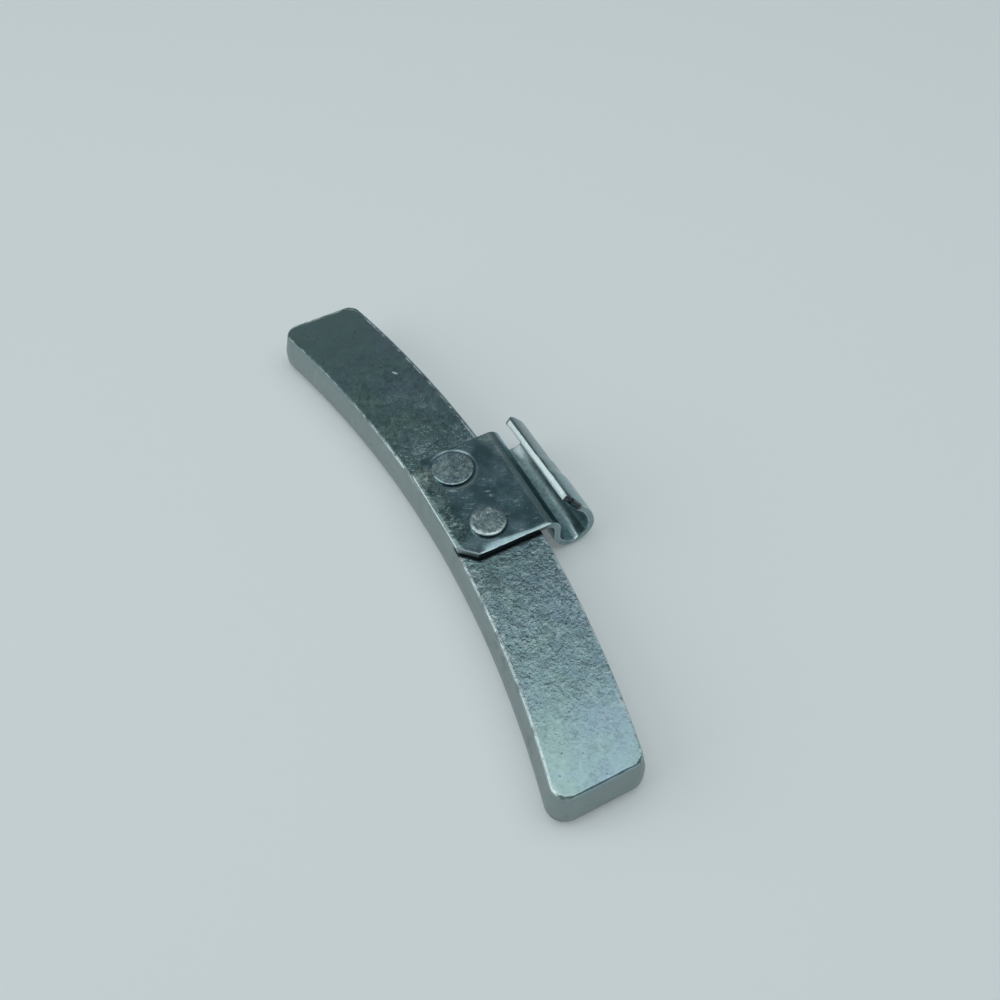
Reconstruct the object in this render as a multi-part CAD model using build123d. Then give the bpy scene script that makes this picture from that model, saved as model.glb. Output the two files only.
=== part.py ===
"""Clip-on balance weight for a car wheel: a curved steel bar and the folded spring clip headed onto it.

It lies on its front face, clip side up. +X runs along the bar, +Y out towards the rim flange, +Z up.
The origin is on the front face, at the bar's middle. All sizes are in millimetres.
"""
import os
from math import atan, degrees

from build123d import *

# Bar: a flat blank cut to the curve of the rim, with square ends, measured on its clip side
bar_length = 86.7
bar_width = 11.8
bar_thickness = 6.5
bar_outer_radius = 178.8
bar_corner_radius = 2.0
bar_edge_radius = 0.3
wall_lean = 0.62
wall_lean_depth = 3.5
front_rim_radius = 1.5

# Clip: one strip of spring sheet, folded into a hook for the rim flange
sheet = 1.0
clip_length = 18.2
clip_offset = -0.3
clip_corner_cut = 2.2
clip_overhang = 0.8
bend_radius = 1.0
wall_length = 1.9
channel_radius = 2.2
lip_radius = 5.5
lip_angle = 63.0
lip_cut_along = 2.0
lip_cut_down = 1.4
lip_corner_radius = 0.9

# Studs: punched up out of the bar, through the clip, and flattened to hold it
stud_diameter = 4.0
stud_end_distance = 3.85
stud_inset = 0.55
stud_clearance = 0.05
head_stock = 1.2
large_head_diameter = 5.9
large_head_rounding = 0.2
small_head_diameter = 5.05
small_head_rounding = 0.5
seat_diameter = 6.9
seat_depth = 0.1

# Sizes that follow from the ones above
bar_inner_radius = bar_outer_radius - bar_width
bar_middle_radius = bar_outer_radius - bar_width / 2
plate_top = bar_thickness + sheet
stud_radius = stud_diameter / 2
stud_rise = sheet + head_stock
stud_reach = clip_length / 2 - stud_end_distance
large_stud = (clip_offset - stud_reach, -stud_inset)
small_stud = (clip_offset + stud_reach, -stud_inset)


def bar_blank():
    """The blank: a stretch of a ring, cut off square, whose cut walls lean out towards a rounded front rim."""
    arc_centre = Pos(0, -bar_middle_radius)
    ring = arc_centre * (Circle(bar_outer_radius) - Circle(bar_inner_radius))
    stretch = arc_centre * Rectangle(bar_length, 2 * bar_outer_radius, align=(Align.CENTER, Align.MIN))
    plan = ring & stretch
    plan = Pos(0, 0, bar_thickness) * fillet(plan.vertices(), bar_corner_radius)
    lean_angle = degrees(atan(wall_lean / wall_lean_depth))
    leaning = extrude(plan, wall_lean_depth, dir=(0, 0, -1), taper=-lean_angle)
    widest = leaning.faces().sort_by(Axis.Z)[0]
    blank = leaning + extrude(widest, bar_thickness - wall_lean_depth, dir=(0, 0, -1))
    blank = fillet(blank.faces().sort_by(Axis.Z)[0].edges(), front_rim_radius)
    return fillet(blank.faces().sort_by(Axis.Z)[-1].edges(), bar_edge_radius)


def stud(centre, head_diameter, rounding, seat_height):
    """One stud: its shank through the clip, and the head that its spare metal is flattened into."""
    head_radius = head_diameter / 2
    head_height = head_stock * (stud_radius / head_radius) ** 2
    shank_height = seat_height - bar_thickness
    shank = Pos(*centre, bar_thickness) * extrude(Circle(stud_radius), shank_height)
    head = Pos(*centre, seat_height) * extrude(Circle(head_radius), head_height)
    crown = head.edges().sort_by(Axis.Z)[-1]
    head = fillet(crown, min(rounding, 0.7 * head_height))
    return shank + head


def punch_mark(centre):
    """The round recess that the punch leaves in the front face, as deep as the stud stood up."""
    return Pos(*centre) * extrude(Circle(stud_radius), stud_rise)


def weight_bar():
    """The weight itself, with the two headed studs that are part of it."""
    bar = bar_blank()
    bar -= punch_mark(large_stud)
    bar -= punch_mark(small_stud)
    bar += stud(large_stud, large_head_diameter, large_head_rounding, plate_top - seat_depth)
    bar += stud(small_stud, small_head_diameter, small_head_rounding, plate_top)
    return bar


def clip_section():
    """The clip seen from its end: the underside is followed from the plate to the lip, then given its thickness."""
    plate = Line((-bar_width / 2, bar_thickness), (bar_width / 2 + clip_overhang, bar_thickness))
    bend = JernArc(plate @ 1, plate % 1, bend_radius, -90)
    wall = Line(bend @ 1, bend @ 1 + (bend % 1) * wall_length)
    channel = JernArc(wall @ 1, wall % 1, channel_radius + sheet, 180)
    lip = JernArc(channel @ 1, channel % 1, lip_radius + sheet, lip_angle)
    underside = Wire([plate, bend, wall, channel, lip])
    return make_face(offset(underside, sheet, side=Side.LEFT))


def spring_clip():
    """The folded clip, with its cut corners and the two holes that the studs come through."""
    start = clip_offset - clip_length / 2
    clip = extrude(Pos(start, 0, 0) * (Plane.YZ * clip_section()), clip_length)

    inner_corners = clip.edges().filter_by(Axis.Z).group_by(Axis.Y)[0]
    clip = chamfer(inner_corners, clip_corner_cut)

    lip_end = clip.edges().filter_by(GeomType.LINE).group_by(Axis.Z)[-2]
    lip_corner = lip_end.sort_by(Axis.X)[-1]
    end_face = clip.faces().sort_by(Axis.X)[-1]
    clip = chamfer(lip_corner, lip_cut_down, lip_cut_along, reference=end_face)
    far_corner = clip.edges().filter_by(GeomType.LINE).group_by(Axis.X)[0].sort_by(Axis.Z)[-1]
    clip = fillet(far_corner, lip_corner_radius)

    hole = Circle(stud_radius + stud_clearance)
    for centre in (large_stud, small_stud):
        clip -= Pos(*centre, bar_thickness) * extrude(hole, sheet)
    clip -= Pos(*large_stud, plate_top - seat_depth) * extrude(Circle(seat_diameter / 2), seat_depth)
    return clip


os.makedirs("parts", exist_ok=True)
export_step(weight_bar(), "parts/weight_bar.step")
export_step(spring_clip(), "parts/spring_clip.step")
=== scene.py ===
import math
from functools import partial, reduce

import bmesh
import bpy
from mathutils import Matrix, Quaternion, Vector, noise


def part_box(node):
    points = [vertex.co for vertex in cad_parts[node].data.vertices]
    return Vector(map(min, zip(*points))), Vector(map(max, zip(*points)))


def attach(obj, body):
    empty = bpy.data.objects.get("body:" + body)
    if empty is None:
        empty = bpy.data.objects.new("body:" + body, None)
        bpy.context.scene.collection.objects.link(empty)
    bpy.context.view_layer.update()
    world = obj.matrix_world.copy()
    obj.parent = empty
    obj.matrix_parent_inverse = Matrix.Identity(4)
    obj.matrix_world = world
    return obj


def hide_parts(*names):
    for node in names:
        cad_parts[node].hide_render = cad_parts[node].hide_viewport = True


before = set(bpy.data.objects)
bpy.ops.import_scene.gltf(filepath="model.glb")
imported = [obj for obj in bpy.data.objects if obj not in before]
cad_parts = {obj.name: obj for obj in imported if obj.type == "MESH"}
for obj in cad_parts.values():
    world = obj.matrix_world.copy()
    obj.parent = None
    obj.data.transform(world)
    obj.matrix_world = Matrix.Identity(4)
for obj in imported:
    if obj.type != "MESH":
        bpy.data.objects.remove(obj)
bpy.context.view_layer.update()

# Weight bar: the mass of the part, a thick bar of mild steel blanked to the curve of the rim, with square
# ends. Its cut walls lean out to a rounded front rim, and tumbling has nicked the back rim.
mm = 0.001
bar_low, bar_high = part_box("weight_bar")
bar_length = bar_high.x - bar_low.x
bar_width = 11.8 * mm
bar_thickness = 6.5 * mm
bar_outer_radius = 178.8 * mm
bar_inner_radius = bar_outer_radius - bar_width
wall_lean = 0.62 * mm
wall_lean_depth = 3.5 * mm
inner_corner_radius = 3.35 * mm
outer_corner_radius = 1.97 * mm
front_rim_radius = 1.5 * mm
back_rim_radius = 0.42 * mm
back_rim_height = 0.6 * mm
bar_grid = 0.35 * mm
wall_grid = 0.9 * mm
wall_grid_top = bar_thickness - 0.4 * mm
rim_nick_depth = 0.12 * mm
rim_nick_length = 0.8 * mm
face_ripple_depth = 0.007 * mm
face_ripple_length = 1.1 * mm
face_ripple_ends = (40 * mm, 30 * mm)
face_wave_depth = 0.03 * mm
face_wave_length = 9.0 * mm
# The back rim is sharp along the outer side's near half, and in part along the inner side
sharp_outer_start = (0, 8 * mm)
sharp_outer_end = (43.2 * mm, 41.6 * mm)
sharp_inner_share = 0.45
sharp_inner_ends = (41.5 * mm, 39 * mm)
sharp_height = (bar_thickness - 1.0 * mm, bar_thickness - 0.5 * mm)


def block(sizes, middle):
    """A plain block to start a piece from."""
    bm = bmesh.new()
    bmesh.ops.create_cube(bm, size=1)
    bmesh.ops.scale(bm, vec=sizes, verts=bm.verts)
    bmesh.ops.translate(bm, vec=middle, verts=bm.verts)
    return bm


def split(bm, place, normal, clear_outer=False):
    """Cuts all faces along a plane, and can take away what lies past it."""
    everything = bm.verts[:] + bm.edges[:] + bm.faces[:]
    bmesh.ops.bisect_plane(bm, geom=everything, dist=1e-7, plane_co=place, plane_no=normal,
                           clear_outer=clear_outer)


def cut_grid(bm, axis, low, high, pitch):
    """Cuts the mesh with evenly spaced planes across one axis, so that it can bend and be worn."""
    normal = Vector((0, 0, 0))
    normal[axis] = 1
    count = round((high - low) / pitch)
    for step in range(1, count):
        split(bm, normal * (low + (high - low) * step / count), normal)


def round_off(bm, edges, radius, segments):
    """Rounds edges off, or cuts them flat with one segment."""
    bmesh.ops.bevel(bm, geom=edges, offset=radius, affect="EDGES", segments=segments, profile=0.5,
                    material=-1)


def upright_edges(bm):
    """The edges that run up the sides of a flat block."""
    return [e for e in bm.edges if abs(e.verts[0].co.z - e.verts[1].co.z) > 0.9 * e.calc_length()]


def rim_edges(bm, side):
    """The edges where the upper (1) or lower (-1) broad face of a flat block meets its sides."""
    return [e for e in bm.edges if sorted(f.normal.z * side > 0.5 for f in e.link_faces) == [False, True]]


def smooth_step(low, high, value):
    """Goes smoothly from 0 at low to 1 at high."""
    share = min(1.0, max(0.0, (value - low) / (high - low)))
    return share * share * (3 - 2 * share)


def roughness_at(place, length, octaves):
    """Fractal noise about 0, whose largest lumps have a given length."""
    return noise.fractal(place / length, 1.0, 2.0, octaves)


def squareness(normal):
    """1 on a broad face or an upright wall, and less on the rounded rim between them."""
    return max(abs(normal.z), normal.xy.length)


def sharpened(vert, share, rounding):
    """The step that takes a vertex of a rounded rim out towards the sharp edge."""
    return vert.normal * share * rounding * (1 / squareness(vert.normal) - 1)


def mark_rims(bm):
    """Keeps on each vertex how far it lies on a rounded rim, for the plating to wear there."""
    rim_layer = bm.verts.layers.float.new("rim")
    bm.normal_update()
    for vert in bm.verts:
        vert[rim_layer] = smooth_step(0.999, 0.9, squareness(vert.normal))
    return rim_layer


def shown_piece(bm, name):
    """Makes the finished bmesh an object of the scene, with smooth faces."""
    mesh = bpy.data.meshes.new(name)
    bm.to_mesh(mesh)
    bm.free()
    mesh.shade_smooth()
    piece = bpy.data.objects.new(name, mesh)
    bpy.context.scene.collection.objects.link(piece)
    return piece


widest = bar_width + 2 * wall_lean
lean_start = bar_thickness - wall_lean_depth
bm = block((bar_length, widest, bar_thickness), (0, 0, bar_thickness / 2))
for radius, side in ((inner_corner_radius, -1), (outer_corner_radius, 1)):
    corners = [e for e in upright_edges(bm) if e.verts[0].co.y * side > 0 and e.calc_face_angle() > 1]
    round_off(bm, corners, radius, 12)
split(bm, (0, 0, lean_start), (0, 0, 1))
bm.normal_update()
for vert in bm.verts:
    if vert.co.z > lean_start + mm:
        outward = Vector((vert.normal.x, vert.normal.y, 0)).normalized()
        vert.co -= outward * wall_lean
bm.normal_update()
round_off(bm, rim_edges(bm, -1), front_rim_radius, 7)
bm.normal_update()
round_off(bm, rim_edges(bm, 1), back_rim_radius, 4)
cut_grid(bm, 0, -bar_length / 2, bar_length / 2, bar_grid)
cut_grid(bm, 1, -widest / 2, widest / 2, bar_grid)
cut_grid(bm, 2, front_rim_radius, wall_grid_top, wall_grid)

rim_layer = mark_rims(bm)
across_layer = bm.verts.layers.float.new("across")
edge_layer = bm.verts.layers.float.new("from_edge")
bm.normal_update()
for vert in bm.verts:
    share = vert.co.y / bar_width + 0.5
    vert[across_layer] = share
    # How far the vertex lies in from the far end and the outer side, round their shared corner
    from_far_end = vert.co.x + bar_length / 2 - wall_lean
    from_outer_side = bar_width / 2 - vert.co.y
    into_corner = [max(0.0, outer_corner_radius - reach) for reach in (from_far_end, from_outer_side)]
    vert[edge_layer] = max(outer_corner_radius - math.hypot(*into_corner),
                           min(from_far_end, from_outer_side) - outer_corner_radius)
    on_back = smooth_step(0.9, 1.0, vert.normal.z)
    back_rim = vert[rim_layer] * smooth_step(bar_thickness - back_rim_height, bar_thickness, vert.co.z)
    sharp = smooth_step(*sharp_outer_start, vert.co.x) * smooth_step(*sharp_outer_end, vert.co.x)
    sharp *= smooth_step(0.7, 0.9, share)
    sharp_inner = smooth_step(0.3, 0.1, share) * smooth_step(*sharp_inner_ends, abs(vert.co.x))
    sharp += sharp_inner_share * sharp_inner
    sharp *= smooth_step(*sharp_height, vert.co.z)
    vert.co += sharpened(vert, sharp, back_rim_radius)
    nick = max(0.0, roughness_at(vert.co, rim_nick_length, 3))
    vert.co -= vert.normal * rim_nick_depth * back_rim * nick
    rippled = on_back * smooth_step(*face_ripple_ends, abs(vert.co.x))
    vert.co.z += rippled * face_ripple_depth * roughness_at(vert.co, face_ripple_length, 2)
    vert.co.z += on_back * face_wave_depth * noise.noise(vert.co / face_wave_length)
arc_centre = bar_width / 2 - bar_outer_radius
for vert in bm.verts:
    outer_edge = arc_centre + math.sqrt(bar_outer_radius ** 2 - vert.co.x ** 2)
    inner_edge = arc_centre + math.sqrt(bar_inner_radius ** 2 - vert.co.x ** 2)
    vert.co.y = inner_edge + (outer_edge - inner_edge) * vert[across_layer]
weight_bar = shown_piece(bm, "weight_bar_plated")

# Studs: pushed up out of the bar by a punch from below, through the clip's two holes, and flattened into
# heads that hold the clip down. They are the bar's own steel, so the bar has a round recess under each.
stud_radius = 2.0 * mm
shank_sunk = 0.6 * mm
recess_depth = 2.2 * mm
head_grid = 0.22 * mm
head_steps = 6
spin_steps = 72
hammer_mark_length = 1.6 * mm
hammered_share = 0.3
belly_tuck = 0.35
belly_rise = 0.45
sharp_angle = math.radians(32)
studs = {
    "large": dict(centre=(-5.66 * mm, -0.49 * mm), radius=2.9 * mm, height=0.44 * mm, seat=7.4 * mm,
                  rounding=0.18 * mm, shoulder=0.1 * mm, tuck=0.25 * mm, dent=0.02 * mm),
    "small": dict(centre=(4.72 * mm, -0.31 * mm), radius=2.49 * mm, height=0.6 * mm, seat=7.5 * mm,
                  rounding=0.42 * mm, shoulder=0.17 * mm, tuck=0.3 * mm, dent=0.02 * mm),
}


def spun_profile(points):
    """A closed round body, turned from a profile of (radius, height) points about an upright axis."""
    body = bmesh.new()
    profile = [body.verts.new((r, 0, z)) for r, z in points]
    for first, second in zip(profile, profile[1:]):
        body.edges.new((first, second))
    bmesh.ops.spin(body, geom=body.verts[:] + body.edges[:], axis=(0, 0, 1), cent=(0, 0, 0),
                   angle=math.tau, steps=spin_steps, use_merge=True)
    bmesh.ops.remove_doubles(body, verts=body.verts, dist=1e-6)
    bmesh.ops.recalc_face_normals(body, faces=body.faces)
    return body


def plug(radius, low, high, centre):
    """A plain round body, upright at a place, to cut a hole with."""
    body = spun_profile([(0, low), (radius, low), (radius, high), (0, high)])
    bmesh.ops.translate(body, vec=(*centre, 0), verts=body.verts)
    return body


def combine(piece, tool_mesh, operation):
    """Adds a body to a piece or cuts it away, and leaves no helper object behind."""
    tool = shown_piece(tool_mesh, "tool")
    modifier = piece.modifiers.new(operation.lower(), "BOOLEAN")
    modifier.operation = operation
    modifier.solver = "EXACT"
    modifier.object = tool
    bpy.context.view_layer.update()
    evaluated = piece.evaluated_get(bpy.context.evaluated_depsgraph_get())
    piece.data = bpy.data.meshes.new_from_object(evaluated)
    piece.modifiers.clear()
    bpy.data.objects.remove(tool)


def shade_evenly(piece):
    """Keeps sharp edges sharp, and lets the broad faces lead the shading of the rims."""
    piece.data.set_sharp_from_angle(angle=sharp_angle)
    piece.modifiers.new("even_shading", "WEIGHTED_NORMAL").keep_sharp = True


def head_profile(stud):
    """One stud's outline from its shank in the bar to the middle of its head's top."""
    radius = stud["radius"]
    seat = stud["seat"]
    head_top = seat + stud["height"]
    belly = head_top - stud["shoulder"]
    shank_foot = bar_thickness - shank_sunk
    profile = [(0, shank_foot), (stud_radius, shank_foot), (stud_radius, seat)]
    profile.append((radius - stud["tuck"], seat))
    profile.append((radius - belly_tuck * stud["tuck"], seat + belly_rise * (belly - seat)))
    for step in range(head_steps + 1):
        turn = math.radians(90) * step / head_steps
        inwards = stud["rounding"] * (1 - math.cos(turn))
        profile.append((radius - inwards, head_top - stud["shoulder"] * (1 - math.sin(turn))))
    return profile


for stud in studs.values():
    radius = stud["radius"]
    head_top = stud["seat"] + stud["height"]
    head = spun_profile(head_profile(stud))
    bmesh.ops.holes_fill(head, edges=[e for e in head.edges if e.is_boundary], sides=0)
    bmesh.ops.recalc_face_normals(head, faces=head.faces)
    cut_grid(head, 0, -radius, radius, head_grid)
    cut_grid(head, 1, -radius, radius, head_grid)
    bmesh.ops.translate(head, vec=(*stud["centre"], 0), verts=head.verts)
    for vert in head.verts:
        upper = smooth_step(head_top - hammered_share * stud["height"], head_top, vert.co.z)
        hammered = roughness_at(vert.co, hammer_mark_length, 2)
        vert.co.z -= stud["dent"] * upper * (0.5 + 0.5 * hammered)
    combine(weight_bar, head, "UNION")
    combine(weight_bar, plug(stud_radius, -mm, recess_depth, stud["centre"]), "DIFFERENCE")
shade_evenly(weight_bar)
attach(weight_bar, "root")
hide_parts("weight_bar")

# Plating of the bar and its studs: bright zinc, put on in a barrel and passivated to a cool blue-green grey.
# It lies on the rolled face as a fine crinkle, and tumbling has worn it along the rims and on the heads.
zinc_teal = (0.315, 0.465, 0.49, 1)
zinc_green = (0.325, 0.475, 0.46, 1)
zinc_violet = (0.32, 0.45, 0.515, 1)
deep_zinc = (0.15, 0.25, 0.30, 1)
cut_zinc = (0.30, 0.352, 0.355, 1)
worn_zinc_and_highlight = (0.68, 0.79, 0.79, 1)
dull_steel = (0.14, 0.17, 0.18, 1)
grime_and_shade = (0.03, 0.04, 0.045, 1)
mark_height = 10 * mm
crinkle_depth = 0.072 * mm
# The picture's width lies at this many degrees from the bar's length
view_turn = 63
# The clip's near end and its cut corner, along which shade is painted on the bar
clip_low, clip_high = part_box("spring_clip")
plate_start = clip_low.y
clip_corner_cut = 2.2 * mm


class Paint:
    """Adds nodes to a material or a node group, and lays one colour over another."""

    def __init__(self, tree, place=None):
        self.tree = tree
        self.place = place
        self.colour = None

    def node(self, kind, inputs, **settings):
        """A new node: each input is given a value or linked to another node's output."""
        new = self.tree.nodes.new(kind)
        for name, value in settings.items():
            setattr(new, name, value)
        for name, value in inputs.items():
            if isinstance(value, bpy.types.NodeSocket):
                self.link(value, new.inputs[name])
            else:
                new.inputs[name].default_value = value
        return new

    def link(self, source, target):
        """Leads one node's output into another's input."""
        self.tree.links.new(source, target)

    def use(self, group, **inputs):
        """Uses a node group here, and returns what it gives."""
        return self.node("ShaderNodeGroup", {"Place": self.place, **inputs}, node_tree=group.tree).outputs

    def kept(self, name):
        """A value that was kept on the mesh's vertices."""
        return self.node("ShaderNodeAttribute", {}, attribute_name=name).outputs["Fac"]

    def axes(self, place):
        """The three numbers of a place or direction."""
        return self.node("ShaderNodeSeparateXYZ", {"Vector": place}).outputs

    def calculate(self, operation, first, second=0.0):
        """One sum, difference or other result of two values."""
        return self.node("ShaderNodeMath", {0: first, 1: second}, operation=operation).outputs[0]

    def times(self, *values):
        """The product of all values, such as a mask and what limits it."""
        return reduce(partial(self.calculate, "MULTIPLY"), values)

    def plus(self, *values):
        """The sum of all values."""
        return reduce(partial(self.calculate, "ADD"), values)

    def largest(self, *values):
        """The largest of all values, such as several masks put together."""
        return reduce(partial(self.calculate, "MAXIMUM"), values)

    def ramp(self, value, low, high, to_low=0.0, to_high=1.0):
        """Maps low to high onto another range, smoothly and without going past its ends."""
        inputs = {"Value": value, "From Min": low, "From Max": high, "To Min": to_low, "To Max": to_high}
        return self.node("ShaderNodeMapRange", inputs, interpolation_type="SMOOTHSTEP").outputs["Result"]

    def lowered(self, mask, low):
        """1 where a mask is 0, and low where it is 1."""
        return self.ramp(mask, 0, 1, 1.0, low)

    def mix(self, share, first, second):
        """Goes from the first value to the second by a share."""
        return self.node("ShaderNodeMix", {0: share, 2: first, 3: second}).outputs[0]

    def coat(self, colour, *shares):
        """Lays a colour over what is there, by the product of the shares."""
        inputs = {0: self.times(*shares), 6: self.colour, 7: colour}
        self.colour = self.node("ShaderNodeMix", inputs, data_type="RGBA").outputs[2]

    def cloud(self, scale, detail, distortion=0.0, place=None):
        """Noise between 0 and 1 whose lumps are one over scale in size."""
        inputs = {"Vector": place or self.place, "Scale": scale, "Detail": detail, "Roughness": 0.55,
                  "Distortion": distortion}
        return self.node("ShaderNodeTexNoise", inputs).outputs["Fac"]

    def vector(self, operation, *vectors):
        """One result of vectors: another vector, or a number for a length or a dot product."""
        new = self.node("ShaderNodeVectorMath", dict(enumerate(vectors)), operation=operation)
        return new.outputs["Value" if operation in ("LENGTH", "DOT_PRODUCT") else "Vector"]

    def turned(self, turn, sizes, centre=(0, 0, 0)):
        """The place from a centre, counted in the given sizes along axes turned by some degrees."""
        inputs = {"Vector": self.place, "Location": centre, "Rotation": (0, 0, math.radians(turn)),
                  "Scale": sizes}
        return self.node("ShaderNodeMapping", inputs, vector_type="TEXTURE").outputs[0]

    def mark(self, centre, half_sizes, turn, softness):
        """A mask for one small oval mark on the upper side, in millimetres and degrees."""
        middle = (*(Vector(centre) * mm), bar_thickness)
        sizes = (*(Vector(half_sizes) * mm), mark_height)
        reach = self.vector("LENGTH", self.turned(turn, sizes, middle))
        return self.ramp(reach, 1.0, 1.0 - softness)

    def around(self, stud):
        """How far each point lies from a stud's axis, and in which direction."""
        from_stud = self.vector("SUBTRACT", self.place, (*stud["centre"], 0))
        flat = self.vector("MULTIPLY", from_stud, (1, 1, 0))
        return self.vector("LENGTH", flat), self.vector("NORMALIZE", flat)

    def past_clip_corner(self, x, y):
        """How far each point lies past the line of the clip's cut near corner."""
        beyond = self.calculate("SUBTRACT", x, y)
        beyond = self.calculate("SUBTRACT", beyond, clip_high.x - plate_start - clip_corner_cut)
        return self.times(beyond, math.sqrt(0.5))

    def finish(self, surface, roughness, relief, depth):
        """Gives the surface its colour, its roughness and a relief of some depth."""
        bump = self.node("ShaderNodeBump", {"Strength": 1.0, "Distance": depth, "Height": relief})
        self.link(self.colour, surface.inputs["Base Color"])
        self.link(roughness, surface.inputs["Roughness"])
        self.link(bump.outputs["Normal"], surface.inputs["Normal"])


def start_group(name, inputs, outputs):
    """A shader node group: the paint that fills it, what it is given and what it gives."""
    group = bpy.data.node_groups.new(name, "ShaderNodeTree")
    for title, kind in inputs.items():
        group.interface.new_socket(title, in_out="INPUT", socket_type=kind)
    for title, kind in outputs.items():
        group.interface.new_socket(title, in_out="OUTPUT", socket_type=kind)
    given = group.nodes.new("NodeGroupInput").outputs
    gives = group.nodes.new("NodeGroupOutput").inputs
    return Paint(group, given["Place"]), given, gives


def plating(name):
    """A new metal material, the paint for it and its surface node."""
    material = bpy.data.materials.new(name)
    material.use_nodes = True
    surface = material.node_tree.nodes["Principled BSDF"]
    surface.inputs["Metallic"].default_value = 1.0
    paint = Paint(material.node_tree)
    paint.place = paint.node("ShaderNodeTexCoord", {}).outputs["Object"]
    return material, paint, surface


def cover(piece, material):
    """Gives a piece its one material."""
    piece.data.materials.clear()
    piece.data.materials.append(material)


vector, value, colour = "NodeSocketVector", "NodeSocketFloat", "NodeSocketColor"

crinkle, given, gives = start_group(
    "zinc_crinkle", {"Place": vector},
    {"Fine": value, "Coarse": value, "Flecks": value, "Gaps": value, "Patches": value})
drawn = crinkle.turned(view_turn, (0.9, 1.12, 1.0))
fine = crinkle.cloud(2350, 3, 0.7, place=drawn)
coarse = crinkle.cloud(1000, 4, 0.7, place=drawn)
lumps = crinkle.mix(0.3, fine, coarse)
crinkle.link(fine, gives["Fine"])
crinkle.link(coarse, gives["Coarse"])
crinkle.link(crinkle.ramp(lumps, 0.53, 0.62), gives["Flecks"])
crinkle.link(crinkle.ramp(lumps, 0.47, 0.38), gives["Gaps"])
crinkle.link(crinkle.cloud(260, 3), gives["Patches"])

tint, given, gives = start_group("plating_tint", {"Place": vector, "Across": value}, {"Colour": colour})
drift = tint.ramp(tint.cloud(230, 3), 0.3, 0.7, -0.3, 0.7)
lean = tint.plus(tint.times(given["Across"], 0.6), drift)
tint.colour = zinc_green
tint.coat(zinc_teal, tint.ramp(lean, 0.0, 0.45))
tint.coat(zinc_violet, tint.ramp(lean, 0.6, 1.1))
tint.link(tint.colour, gives["Colour"])

wear, given, gives = start_group(
    "rim_wear", {"Place": vector, "Rim": value}, {"Worn": value, "Dulled": value})
broken = wear.cloud(420, 6)
wear.link(wear.times(given["Rim"], wear.ramp(broken, 0.44, 0.52)), gives["Worn"])
wear.link(wear.times(given["Rim"], wear.ramp(broken, 0.46, 0.40)), gives["Dulled"])

scuff, given, gives = start_group("scuffs", {"Place": vector}, {"Smears": value, "Specks": value})
smear_shapes = ((63, (1.6, 0.45, 2)), (48, (1.3, 0.5, 2)), (82, (1.8, 0.4, 2)))
smears = []
for turn, sizes in smear_shapes:
    drawn = scuff.turned(turn, Vector(sizes) * mm)
    smears.append(scuff.ramp(scuff.cloud(1.0, 4, 1.0, place=drawn), 0.60, 0.76))
scuff.link(scuff.largest(*smears), gives["Smears"])
scuff.link(scuff.ramp(scuff.cloud(1500, 3), 0.64, 0.72), gives["Specks"])

bar_zinc, paint, surface = plating("zinc_on_rolled_steel")
x, y, z = paint.axes(paint.place)
across = paint.kept("across")
rim = paint.kept("rim")
skin = paint.use(crinkle)
worn = paint.use(wear, Rim=rim)
marks = paint.use(scuff)
on_back = paint.ramp(z, 6.2 * mm, 6.4 * mm, 0.06, 1.0)
on_heads = paint.ramp(z, 6.9 * mm, 7.2 * mm)
# The crinkle grows from the far end to the near half, and is flatter beside the clip and at the near end
rougher_near = paint.ramp(x, -38 * mm, 6 * mm, 0.12, 1.0)
settled_end = paint.ramp(x, 24 * mm, 41 * mm, 1.0, 0.32)
rough_back = paint.times(on_back, paint.lowered(on_heads, 0.5), rougher_near, settled_end)
bald_patch = paint.mark((10.8, -5.4), (1.3, 0.8), 20, 0.6)
rubbed_by_clip = paint.mark((10.5, -1.5), (5.5, 8), 0, 0.9)
crinkled = paint.times(rough_back, paint.ramp(skin["Patches"], 0.3, 0.7, 0.7, 1.15),
                       paint.lowered(bald_patch, 0.3), paint.lowered(rubbed_by_clip, 0.6))
lumpy = paint.times(on_back, paint.ramp(rough_back, 0.1, 0.8, 0.25, 0.9), paint.lowered(on_heads, 0.35))
relief = paint.plus(paint.times(skin["Fine"], crinkled), paint.times(skin["Coarse"], lumpy, 0.7))
paint.colour = cut_zinc
paint.coat(paint.use(tint, Across=across)["Colour"], paint.ramp(z, 6.0 * mm, 6.3 * mm))
flecked = paint.times(skin["Flecks"], crinkled, paint.ramp(crinkled, 0.2, 0.9, 0.08, 0.36))
paint.coat(worn_zinc_and_highlight, flecked)
smudged = paint.ramp(paint.cloud(330, 4), 0.58, 0.68)
paint.coat(dull_steel, smudged, paint.ramp(on_back, 0.9, 0.1, 0.0, 0.4), paint.ramp(x, 2 * mm, 12 * mm))
paint.coat(dull_steel, skin["Gaps"], crinkled, 0.6)
# Painted shade: the face is darker from the clip's near edge on, fading out towards the near end
paint.coat(deep_zinc, paint.ramp(x, 8.5 * mm, 9.5 * mm, 0.0, 0.35),
           paint.ramp(x, 27 * mm, 41 * mm, 1.0, 0.05), on_back)
# Soft patches mottle the face, less towards its ends, with smears on the far half and dark specks
mottled = paint.times(on_back, paint.ramp(x, -42 * mm, -23 * mm), paint.ramp(x, 20 * mm, 38 * mm, 1.0, 0.4),
                      paint.lowered(on_heads, 0.9))
paint.coat(dull_steel, paint.ramp(skin["Coarse"], 0.48, 0.38), mottled, 0.3)
paint.coat(worn_zinc_and_highlight, paint.ramp(skin["Coarse"], 0.54, 0.66), mottled, 0.27)
paint.coat(worn_zinc_and_highlight, marks["Smears"], paint.ramp(x, -4 * mm, 8 * mm, 0.2, 0.0))
paint.coat(dull_steel, marks["Specks"], paint.ramp(on_heads, 0, 1, 0.5, 0.0))
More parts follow.
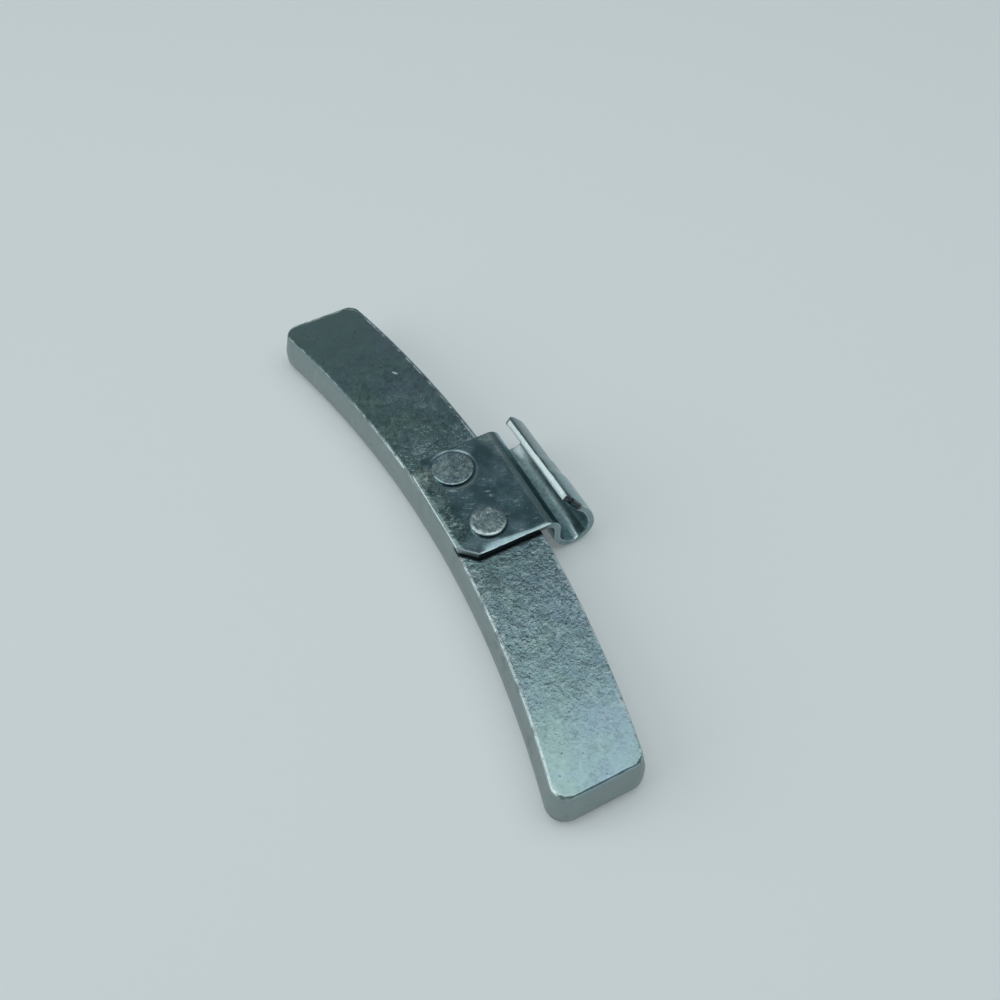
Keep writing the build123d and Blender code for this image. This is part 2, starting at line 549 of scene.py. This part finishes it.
# The heads are scored and grainy. The small one's rim has a painted highlight on its lit side, broken up by
# noise, and the large one's rim is darker on its far side
scored = paint.mark((-5.3, 0.7), (1.7, 1.4), view_turn, 0.5)
from_level = paint.calculate("ABSOLUTE", paint.calculate("SUBTRACT", paint.cloud(1700, 1, 0.8), 0.5))
paint.coat(grime_and_shade, scored, paint.ramp(from_level, 0.09, 0.04), on_heads, 0.75)
paint.coat(dull_steel, on_heads, paint.ramp(x, 0, 2 * mm, 0.0, 0.36))
grain = paint.mix(0.5, skin["Fine"], skin["Coarse"])
paint.coat(deep_zinc, paint.ramp(grain, 0.5, 0.4, 0.0, 0.75), on_heads)
paint.coat(worn_zinc_and_highlight, paint.ramp(grain, 0.49, 0.6, 0.0, 0.62), on_heads)
reach, towards = paint.around(studs["small"])
small_rim = paint.ramp(reach, studs["small"]["radius"] - 0.5 * mm, studs["small"]["radius"] - 0.3 * mm)
lit_side = paint.ramp(paint.vector("DOT_PRODUCT", towards, (0.47, -0.88, 0)), -0.2, 0.5, 0.0, 0.85)
glint_breakup = paint.ramp(paint.cloud(1000, 4, 0.5), 0.40, 0.55, 0.4, 1.0)
paint.coat(worn_zinc_and_highlight, small_rim, lit_side, glint_breakup, on_heads)
bloom_shapes = (((6.4, -0.1), (0.75, 0.6)), ((5.3, -0.1), (0.6, 0.25)), ((-6.6, -1.4), (1.5, 1.1)))
for centre, half_sizes in bloom_shapes:
    bloom = paint.mark(centre, half_sizes, view_turn, 0.8)
    paint.coat(worn_zinc_and_highlight, bloom, paint.ramp(skin["Fine"], 0.42, 0.6, 0.1, 0.6), on_heads)
reach, towards = paint.around(studs["large"])
large_rim = paint.ramp(reach, studs["large"]["radius"] - 0.3 * mm, studs["large"]["radius"] - 0.12 * mm)
far_side = paint.ramp(paint.vector("DOT_PRODUCT", towards, (-0.89, 0.45, 0)), 0.0, 0.5, 0.0, 0.7)
paint.coat(deep_zinc, large_rim, far_side, on_heads)
# Single marks: a bald patch by the clip, two pits towards the near end, and two bright knocks
paint.coat(worn_zinc_and_highlight, bald_patch, 0.35)
for centre, half_sizes, turn in (((40.3, -9.3), (0.22, 0.16), 30), ((37.9, -7.7), (0.2, 0.14), 70)):
    paint.coat(dull_steel, paint.mark(centre, half_sizes, turn, 0.5), 0.7)
knocks = paint.largest(paint.mark((-26.9, 0.3), (0.6, 0.22), 38, 0.4),
                       paint.mark((17.5, -6.1), (0.55, 0.18), 30, 0.4))
# Tumbling polished the inner side's rim, with dull gaps, and left a broken bare line along the outer side
# and the far end. Bright specks along the near half's edges are partly bare spots and partly painted glints
inner_side = paint.ramp(across, 0.3, 0.1)
paint.coat(worn_zinc_and_highlight, rim, on_back, inner_side, paint.ramp(x, -36 * mm, -6 * mm, 0.05, 0.9))
dull_far_rim = paint.times(rim, paint.ramp(x, -30 * mm, -8 * mm, 0.5, 0.0))
paint.coat(dull_steel, paint.largest(dull_far_rim, paint.times(worn["Dulled"], 0.65)), inner_side)
under_clip = paint.times(paint.ramp(x, -10.0 * mm, -9.2 * mm), paint.ramp(x, 9.4 * mm, 8.6 * mm, 0.0, 0.9))
paint.coat(cut_zinc, under_clip, rim, inner_side)
from_edge = paint.plus(paint.kept("from_edge"), paint.ramp(x, 0, 8 * mm, 0, 0.25 * mm))
bare_line = paint.times(paint.ramp(from_edge, 0.64 * mm, 0.5 * mm),
                        paint.ramp(from_edge, 0.22 * mm, 0.34 * mm),
                        paint.ramp(paint.cloud(560, 8, 0.5), 0.4, 0.6),
                        paint.ramp(x, 42.5 * mm, 38 * mm, 0.0, 0.85))
near_edges = paint.largest(paint.ramp(from_edge, 0.95 * mm, 0.6 * mm), paint.ramp(across, 0.08, 0.05))
edge_specks_and_glints = paint.times(paint.ramp(paint.cloud(1300, 3), 0.57, 0.65), near_edges,
                     paint.ramp(x, 8 * mm, 14 * mm, 0.0, 0.8))
bare_and_glints = paint.largest(paint.times(paint.largest(bare_line, edge_specks_and_glints), on_back), knocks)
paint.coat(worn_zinc_and_highlight, bare_and_glints)
# Painted shade lies on the bar's face in the corner along the clip's near edge and its cut corner
past_clip = paint.largest(paint.calculate("SUBTRACT", x, clip_high.x), paint.past_clip_corner(x, y))
paint.coat(grime_and_shade, paint.ramp(past_clip, 0.75 * mm, 0.3 * mm), on_back, paint.ramp(x, 5 * mm, 6 * mm),
           paint.ramp(z, 6.7 * mm, 6.6 * mm))
roughness = paint.plus(paint.ramp(skin["Patches"], 0.3, 0.7, 0.19, 0.25), paint.times(on_heads, 0.07),
                       paint.ramp(z, 6.3 * mm, 6.0 * mm, 0.0, 0.2), paint.times(flecked, 0.5),
                       paint.times(bare_and_glints, 0.4))
paint.finish(surface, roughness, relief, crinkle_depth)
cover(weight_bar, bar_zinc)

# Spring clip: one strip of spring steel sheet, blanked with cut corners, pierced for the studs, and folded
# over the bar's edge into a channel and a curled lip that grips the rim flange.
sheet = 1.0 * mm
half = sheet / 2
clip_length = clip_high.x - clip_low.x
clip_middle = (clip_high.x + clip_low.x) / 2
plate_top = bar_thickness + sheet
clip_rim_radius = 0.12 * mm
clip_grid = 0.26 * mm
hole_radius = stud_radius + 0.05 * mm
# Each run of the folded strip's middle line: how long it is and how far it turns, left being up and over
bend_radius = 1.0 * mm + half
channel_radius = 2.2 * mm + half
lip_radius = 5.5 * mm + half
lip_angle = math.radians(63)
plate_run = 12.6 * mm
wall_run = 1.9 * mm
runs = [(plate_run, 0.0),
        (bend_radius * math.radians(90), math.radians(-90)),
        (wall_run, 0.0),
        (channel_radius * math.radians(180), math.radians(180)),
        (lip_radius * lip_angle, lip_angle)]
strip_length = sum(length for length, turn in runs)
lip_start = strip_length - lip_radius * lip_angle
channel_start = plate_run + bend_radius * math.radians(90) + wall_run
# The lip's near corner is cut off at a slant and torn, its far one rounded, and its tip sheared
lip_cut_along = 2.0 * mm
lip_cut_down = 1.4 * mm
lip_corner_radius = 0.9 * mm
tear_reach = (0.5 * mm, 0.1 * mm)
tear_length = 0.5 * mm
tear_depth = 0.1 * mm
tear_upright = 0.3
tear_least = 0.3
tip_reach = (0.25 * mm, 0.15 * mm)
tip_sharpness = 0.8
lip_shear = 0.29
lip_shear_run = 0.5 * mm
# The press left a seat round the large head, edges drawn down by the die, a dip and a flare
plate_fade = (0.5 * mm, -2 * mm)
seat_radius = 3.45 * mm
seat_depth = 0.06 * mm
seat_wall = (0.2 * mm, -0.25 * mm)
near_roll_wide = 1.45 * mm
near_roll_narrow = 0.6 * mm
near_roll_slope = 0.11
near_roll_narrowing = (3.0 * mm, 11.0 * mm)
corner_narrowing = 0.45
corner_narrowing_run = 0.9 * mm
near_roll_growth = (-0.5 * mm, 2.2 * mm)
inner_roll_depth = 0.13 * mm
inner_roll_width = 0.65 * mm
sheet_ripple_depth = 0.012 * mm
sheet_ripple_length = 2.5 * mm
far_flare_width = 2.4 * mm
far_flare_rise = 0.24 * mm
far_flare_growth = 1.0 * mm
channel_dip_length = 3.8 * mm
channel_dip_along = 4.8 * mm
channel_dip_depth = 0.28 * mm
channel_dip_sides = (1.2 * mm, 0.3 * mm)
# The far half of the curled lip is drawn thinner on its outer side, and bent a little further over
lip_thinning = 0.3 * mm
lip_thinning_steps = ((0.6, 2.6 * mm, 1.2 * mm), (0.4, -0.6 * mm, -1.6 * mm))
lip_thinning_growth = (-2 * mm, 1 * mm)
lip_tip_thinning = 0.5
lip_tip_run = (-0.4 * mm, -2.5 * mm)
lip_closing = 0.5 * mm
near_closing_share = 0.25
lip_closing_growth = (-4 * mm, 2 * mm)


def folded(along):
    """Where a point of the strip's middle line goes when folded: its place and the sheet's upper side."""
    place = Vector((plate_start, plate_top - half))
    heading = 0.0
    for length, turn in runs:
        step = min(along, length)
        if turn:
            radius = length / turn
            swing = step / radius
            centre = place + Vector((-math.sin(heading), math.cos(heading))) * radius
            heading += swing
            place = centre - Vector((-math.sin(heading), math.cos(heading))) * radius
        else:
            place = place + Vector((math.cos(heading), math.sin(heading))) * step
        along -= step
        if along <= 0:
            break
    return place, Vector((-math.sin(heading), math.cos(heading)))


def drawn_edge(distance, width):
    """1 at an edge that was drawn down or bent, curving off to 0 at some width from it."""
    return max(0.0, 1 - distance / width) ** 2


def pressed(x, along, level):
    """The level of a point of the flat strip after the press has left its marks."""
    upper = smooth_step(-0.2 * half, half, level)
    lower = smooth_step(0.2 * half, -half, level)
    on_plate = upper * smooth_step(*plate_fade, along - plate_run)
    seat_x, seat_y = studs["large"]["centre"]
    from_seat = math.hypot(x - seat_x, along + plate_start - seat_y)
    level -= on_plate * seat_depth * smooth_step(*seat_wall, from_seat - seat_radius)
    from_near = clip_high.x - x
    dip = drawn_edge(from_near, channel_dip_length)
    dip *= smooth_step(*channel_dip_sides, abs(along - channel_start - channel_dip_along))
    level -= upper * channel_dip_depth * dip
    from_corner = (from_near + along - clip_corner_cut) / math.sqrt(2)
    towards_fold = smooth_step(*near_roll_narrowing, along)
    roll_width = near_roll_wide + (near_roll_narrow - near_roll_wide) * towards_fold
    roll_width *= 1 - corner_narrowing * smooth_step(0, corner_narrowing_run, from_near - from_corner)
    roll = near_roll_slope * roll_width * drawn_edge(from_near, roll_width)
    level -= upper * roll * smooth_step(*near_roll_growth, from_corner - from_near)
    flare = drawn_edge(x - clip_low.x, far_flare_width)
    flare *= smooth_step(0, far_flare_growth, along - channel_start) ** 2
    level += upper * far_flare_rise * flare
    level -= on_plate * inner_roll_depth * drawn_edge(along, inner_roll_width)
    level += on_plate * sheet_ripple_depth * noise.noise(Vector((x, along, 0)) / sheet_ripple_length)
    thinned = sum(share * smooth_step(start, end, x) for share, start, end in lip_thinning_steps)
    thinned *= smooth_step(*lip_thinning_growth, along - lip_start)
    whole_tip = smooth_step(*lip_tip_run, along - strip_length)
    thinned *= lip_tip_thinning + (1 - lip_tip_thinning) * whole_tip
    return level + lower * lip_thinning * thinned


bm = block((clip_length, strip_length, sheet), (clip_middle, strip_length / 2, 0))
inner_corners = [e for e in upright_edges(bm) if e.verts[0].co.y < strip_length / 2]
round_off(bm, inner_corners, clip_corner_cut, 1)
far_corner = [e for e in upright_edges(bm) if e.verts[0].co.y > strip_length / 2 and e.verts[0].co.x < 0]
round_off(bm, far_corner, lip_corner_radius, 6)
lip_corner = Vector((clip_high.x - lip_cut_along, strip_length, 0))
cut_direction = Vector((lip_cut_down, lip_cut_along, 0)).normalized()
split(bm, lip_corner, cut_direction, clear_outer=True)
bmesh.ops.holes_fill(bm, edges=[e for e in bm.edges if e.is_boundary], sides=0)
bm.normal_update()
round_off(bm, rim_edges(bm, 1) + rim_edges(bm, -1), clip_rim_radius, 2)
cut_grid(bm, 0, clip_low.x, clip_high.x, clip_grid)
cut_grid(bm, 1, 0, strip_length, clip_grid)
mark_rims(bm)
cut_layer = bm.verts.layers.float.new("cut_face")
torn_layer = bm.verts.layers.float.new("torn")
shaded_layer = bm.verts.layers.float.new("shaded_cut")
corner_layer = bm.verts.layers.float.new("corner_cut")
channel_layer = bm.verts.layers.float.new("channel")
tip_layer = bm.verts.layers.float.new("lip_tip")
for vert in bm.verts:
    along = vert.co.y
    normal = vert.normal
    vert[cut_layer] = smooth_step(0.7, 0.98, abs(normal.x))
    on_plate_end = smooth_step(plate_run + 1.0 * mm, plate_run - 0.5 * mm, along)
    vert[shaded_layer] = smooth_step(0.8, 0.98, normal.x) * on_plate_end
    vert[corner_layer] = smooth_step(0.5, 0.65, min(normal.x, -normal.y))
    in_channel = smooth_step(channel_start - 0.5 * mm, channel_start + 0.5 * mm, along)
    vert[channel_layer] = smooth_step(0.5, 0.9, normal.z) * in_channel
    vert[tip_layer] = smooth_step(0.8, 0.98, normal.y) * smooth_step(lip_start, strip_length, along)
    from_cut = (lip_corner - vert.co).dot(cut_direction)
    vert[torn_layer] = smooth_step(*tear_reach, from_cut)
    tip_edge = smooth_step(*tip_reach, strip_length - along) * smooth_step(0, -0.3 * half, vert.co.z)
    vert.co += sharpened(vert, tip_sharpness * tip_edge, clip_rim_radius)
    if vert[torn_layer] > 0.5:
        ragged = roughness_at(Vector((vert.co.x, vert.co.y, tear_upright * vert.co.z)), tear_length, 3)
        vert.co -= cut_direction * tear_depth * max(0.0, tear_least + ragged)
spring_clip = shown_piece(bm, "spring_clip_plated")
for stud in studs.values():
    stud_x, stud_y = stud["centre"]
    combine(spring_clip, plug(hole_radius, -sheet, sheet, (stud_x, stud_y - plate_start)), "DIFFERENCE")
for vert in spring_clip.data.vertices:
    x, along, level = vert.co
    level = pressed(x, along, level)
    along += lip_shear * level * smooth_step(strip_length - lip_shear_run, strip_length, along)
    place, upper_side = folded(along)
    place = place + upper_side * level
    if along > strip_length:
        ahead = Vector((upper_side.y, -upper_side.x))
        place = place + ahead * (along - strip_length)
    far_share = (clip_high.x - x) / clip_length
    closing = lip_closing * (near_closing_share + (1 - near_closing_share) * far_share)
    closing *= smooth_step(*lip_closing_growth, along - lip_start)
    vert.co = (x, place.x - closing, place.y)
shade_evenly(spring_clip)
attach(spring_clip, "root")
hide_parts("spring_clip")

# Plating of the clip: the same bright zinc on smooth spring sheet, put on in a barrel. Here it is a clouded
# mirror and scratched, with highlights and shade painted on in places.
frosted_zinc = (0.53, 0.68, 0.70, 1)
flaked_zinc = (0.52, 0.66, 0.60, 1)
blotch_depth = 0.07 * mm
clip_zinc, paint, surface = plating("zinc_on_spring_sheet")
x, y, z = paint.axes(paint.place)
rim = paint.kept("rim")
channel = paint.kept("channel")
corner_cut = paint.kept("corner_cut")
skin = paint.use(crinkle)
worn = paint.use(wear, Rim=rim)
marks = paint.use(scuff)
clouded = paint.ramp(skin["Patches"], 0.38, 0.68)
inner_strip = paint.times(paint.ramp(y, -2.2 * mm, -4.4 * mm), paint.ramp(x, 8.0 * mm, 2.0 * mm, 0.35, 1.0))
mottled = paint.largest(paint.times(clouded, 0.25), inner_strip, paint.times(channel, 0.4))
blotches = paint.cloud(1900, 4, 0.5)
relief = paint.times(blotches, paint.ramp(mottled, 0, 1, 0.03, 0.4))
paint.colour = zinc_teal
paint.coat(zinc_violet, clouded, 0.8)
paint.coat(zinc_green, inner_strip)
paint.coat(frosted_zinc, channel, paint.ramp(x, 1 * mm, 6 * mm, 1.0, 0.5))
# The lip's outer side is dull, and so are stains and patches all over
paint.coat(dull_steel, paint.lowered(channel, 0.0), paint.ramp(y, 9.0 * mm, 9.8 * mm),
           paint.ramp(x, 6 * mm, -6 * mm, 0.12, 0.58))
paint.coat(dull_steel, paint.ramp(blotches, 0.54, 0.42), paint.ramp(mottled, 0, 1, 0.1, 0.7))
paint.coat(dull_steel, paint.ramp(skin["Patches"], 0.5, 0.36, 0.0, 0.28))
# A flaked patch at the plate's far corner, and smears between the heads
flaked = paint.mark((-6.2, -4.6), (3.4, 1.9), 0, 0.95)
flaked = paint.times(flaked, paint.ramp(blotches, 0.40, 0.58, 0.4, 0.85))
paint.coat(flaked_zinc, flaked)
between_heads = (((0.84, 2.05), (1.0, 0.45)), ((-0.05, 2.0), (0.7, 0.35)), ((-2.34, -2.12), (1.1, 0.42)),
                 ((-0.45, -1.2), (0.7, 0.22)), ((-2.29, 2.29), (0.8, 0.2)), ((-1.45, 3.24), (0.4, 0.2)))
for centre, half_sizes in between_heads:
    smear = paint.mark(centre, half_sizes, view_turn, 0.9)
    smear = paint.times(smear, paint.ramp(blotches, 0.40, 0.58, 0.2, 0.7))
    flaked = paint.largest(flaked, smear)
    paint.coat(worn_zinc_and_highlight, smear)
# Round each head the plate has painted shade on its near side, under the head's rim, and the large one's
# seat has a painted highlight at its edge on the hook side
for stud in studs.values():
    reach, towards = paint.around(stud)
    foot = stud["radius"]
    near_side = paint.ramp(paint.vector("DOT_PRODUCT", towards, (0.98, 0.2, 0)), -0.1, 0.5, 0.0, 0.55)
    paint.coat(grime_and_shade, paint.ramp(reach, foot + 0.3 * mm, foot + 0.1 * mm), near_side)
reach, towards = paint.around(studs["large"])
hook_side = paint.ramp(paint.vector("DOT_PRODUCT", towards, (0.5, 0.87, 0)), -0.1, 0.5, 0.0, 0.6)
paint.coat(worn_zinc_and_highlight, paint.ramp(reach, seat_radius + 0.16 * mm, seat_radius + 0.06 * mm),
           paint.ramp(reach, seat_radius - 0.16 * mm, seat_radius - 0.06 * mm), hook_side)
# Scratches, the cut and torn faces, and rims that tumbling has rubbed bright
paint.coat(worn_zinc_and_highlight, marks["Smears"], 0.42)
paint.coat(worn_zinc_and_highlight, marks["Specks"], 0.4)
paint.coat(dull_steel, paint.kept("cut_face"), 0.5)
paint.coat(grime_and_shade, paint.kept("torn"), 0.9)
paint.coat(worn_zinc_and_highlight, worn["Worn"])
paint.coat(worn_zinc_and_highlight, rim, paint.ramp(y, -5.2 * mm, -5.6 * mm))
paint.coat(worn_zinc_and_highlight, paint.kept("lip_tip"), paint.ramp(skin["Gaps"], 0, 1, 0.56, 0.4))
# Painted highlights make the plate paler along the bend, most at its far corner, and the bend itself is
# darker
from_fold = paint.calculate("ABSOLUTE", paint.calculate("SUBTRACT", y, plate_start + plate_run))
fold_highlight = paint.times(paint.ramp(from_fold, 0.28 * mm, 0.08 * mm), paint.ramp(z, 7.2 * mm, 7.3 * mm))
paint.coat(worn_zinc_and_highlight, fold_highlight, 0.1)
bend_highlight = paint.times(paint.ramp(y, 5.2 * mm, 6.6 * mm), paint.ramp(y, 7.4 * mm, 6.9 * mm),
                     paint.ramp(x, 5 * mm, -7 * mm, 0.08, 0.26))
corner_highlight = paint.mark((-8.5, 6.3), (2.4, 1.9), 0, 0.9)
bend_highlight = paint.largest(bend_highlight, paint.times(corner_highlight, 0.75))
bend_highlight = paint.times(bend_highlight, paint.ramp(z, 6.9 * mm, 7.2 * mm))
paint.coat(worn_zinc_and_highlight, bend_highlight)
paint.coat(deep_zinc, paint.ramp(y, 6.7 * mm, 7.4 * mm), paint.ramp(z, 6.4 * mm, 7.0 * mm),
           paint.ramp(y, 9.4 * mm, 8.8 * mm, 0.0, 0.42))
# Painted highlights brighten the channel at both ends, and the near one is also smoother
near_channel_highlight = paint.mark((8.6, 11.25), (2.8, 0.6), 0, 0.5)
far_channel_highlight = paint.mark((-8.3, 11.5), (2.6, 1.1), 0, 0.95)
paint.coat(worn_zinc_and_highlight, paint.largest(near_channel_highlight, far_channel_highlight), channel)
# The plate's cut near corner is dull, and the cut face at its near end is painted dark as shade
corner_rim = paint.ramp(paint.past_clip_corner(x, y), -0.354 * mm, -0.212 * mm)
paint.coat(dull_steel, corner_rim, paint.ramp(z, 7.2 * mm, 7.35 * mm), 0.75)
paint.coat(cut_zinc, corner_cut, 0.7)
paint.coat(grime_and_shade, paint.kept("shaded_cut"), 0.6)
frosted = paint.largest(paint.ramp(x, 3 * mm, 5.5 * mm, 0.2, 0.1),
                        paint.ramp(z, 2.0 * mm, 3.2 * mm, 0.0, 0.28))
roughness = paint.plus(paint.ramp(clouded, 0, 1, 0.155, 0.235),
                       paint.times(frosted, paint.lowered(near_channel_highlight, 0.1), channel),
                       paint.times(marks["Smears"], 0.12), paint.times(flaked, 0.2),
                       paint.times(corner_cut, 0.35), paint.times(bend_highlight, 0.1),
                       paint.times(fold_highlight, 0.05))
paint.finish(surface, roughness, relief, blotch_depth)
cover(spring_clip, clip_zinc)

# Floor: a plain pale surface for the part to lie on. It shows, also in the metal, a little paler than the
# lamps alone would light it.
floor_size = 3.0
floor_colour = (0.79, 0.86, 0.875, 1)
floor_roughness = 0.6
floor_glow = 0.16
floor_mesh = bmesh.new()
bmesh.ops.create_grid(floor_mesh, x_segments=1, y_segments=1, size=floor_size / 2)
floor = shown_piece(floor_mesh, "floor")
pale = bpy.data.materials.new("pale_floor")
pale.use_nodes = True
surface = pale.node_tree.nodes["Principled BSDF"]
surface.inputs["Base Color"].default_value = floor_colour
surface.inputs["Roughness"].default_value = floor_roughness
surface.inputs["Emission Color"].default_value = floor_colour
paint = Paint(pale.node_tree)
seen_by = paint.node("ShaderNodeLightPath", {}).outputs
seen = paint.largest(seen_by["Is Camera Ray"], seen_by["Is Glossy Ray"], seen_by["Is Transmission Ray"])
paint.link(paint.times(seen, floor_glow), surface.inputs["Emission Strength"])
cover(floor, pale)

# Light: a soft panel overhead and a tall one on the left, as seen by the camera. They hang in a dim room
# whose walls are paler towards the floor.
look_at = Vector((-0.221, 4.029, 4.0)) * mm
camera_place = Vector((87.197, -40.543, 134.816)) * mm
overhead_height = 0.5
overhead_shift_away = 0.035
overhead_shift_right = 0.06
overhead_size = (0.78, 0.47)
overhead_brightness = 1.0
left_height = 0.37
left_distance = 0.58
left_shift_nearer = 0.085
left_size = (0.70, 0.7)
left_brightness = 0.95
low_wall = (0.205, 0.24, 0.245, 1)
middle_wall = (0.19, 0.203, 0.197, 1)
ceiling = (0.06, 0.10, 0.115, 1)


def soft_panel(name, place, rotation, size, brightness):
    """An even light panel of a given brightness, as seen from the part."""
    lamp = bpy.data.lights.new(name, "AREA")
    lamp.shape = "RECTANGLE"
    lamp.size, lamp.size_y = size
    lamp.energy = brightness * math.pi * lamp.size * lamp.size_y
    panel = bpy.data.objects.new(name, lamp)
    panel.location = place
    panel.rotation_mode = "QUATERNION"
    panel.rotation_quaternion = rotation
    bpy.context.scene.collection.objects.link(panel)


away = (look_at - camera_place).xy.normalized().to_3d()
right = Vector((away.y, -away.x, 0))
overhead_place = Vector((0, 0, overhead_height)) + away * overhead_shift_away + right * overhead_shift_right
overhead_turn = Quaternion((0, 0, 1), math.atan2(right.y, right.x))
soft_panel("overhead_panel", overhead_place, overhead_turn, overhead_size, overhead_brightness)
left_aim = Vector((0, 0, left_height))
left_place = left_aim - right * left_distance - away * left_shift_nearer
left_turn = (left_aim - left_place).to_track_quat("-Z", "Y")
soft_panel("left_panel", left_place, left_turn, left_size, left_brightness)
room = bpy.data.worlds.new("dim_room")
room.use_nodes = True
paint = Paint(room.node_tree)
rise = paint.axes(paint.node("ShaderNodeTexCoord", {}).outputs["Generated"])["Z"]
paint.colour = low_wall
paint.coat(middle_wall, paint.ramp(rise, 0.15, 0.38))
paint.coat(ceiling, paint.ramp(rise, 0.66, 0.80))
paint.link(paint.colour, room.node_tree.nodes["Background"].inputs["Color"])
bpy.context.scene.world = room

# Camera: looks down along the bar from its near end, as the photograph does. Its place, its turn and its
# focal length were fitted to the edges in the photograph.
camera_roll = math.radians(-0.765)
frame_width_pixels = 1000
focal_pixels = 1171.3
lens = bpy.data.cameras.new("camera")
lens.sensor_fit = "HORIZONTAL"
lens.sensor_width = 36.0
lens.lens = lens.sensor_width * focal_pixels / frame_width_pixels
lens.clip_start = 0.01
camera = bpy.data.objects.new("camera", lens)
camera.location = camera_place
camera.rotation_mode = "QUATERNION"
look = (look_at - camera_place).to_track_quat("-Z", "Y")
camera.rotation_quaternion = look @ Quaternion((0, 0, 1), camera_roll)
bpy.context.scene.collection.objects.link(camera)
bpy.context.scene.camera = camera
bpy.context.scene.view_settings.view_transform = "Standard"
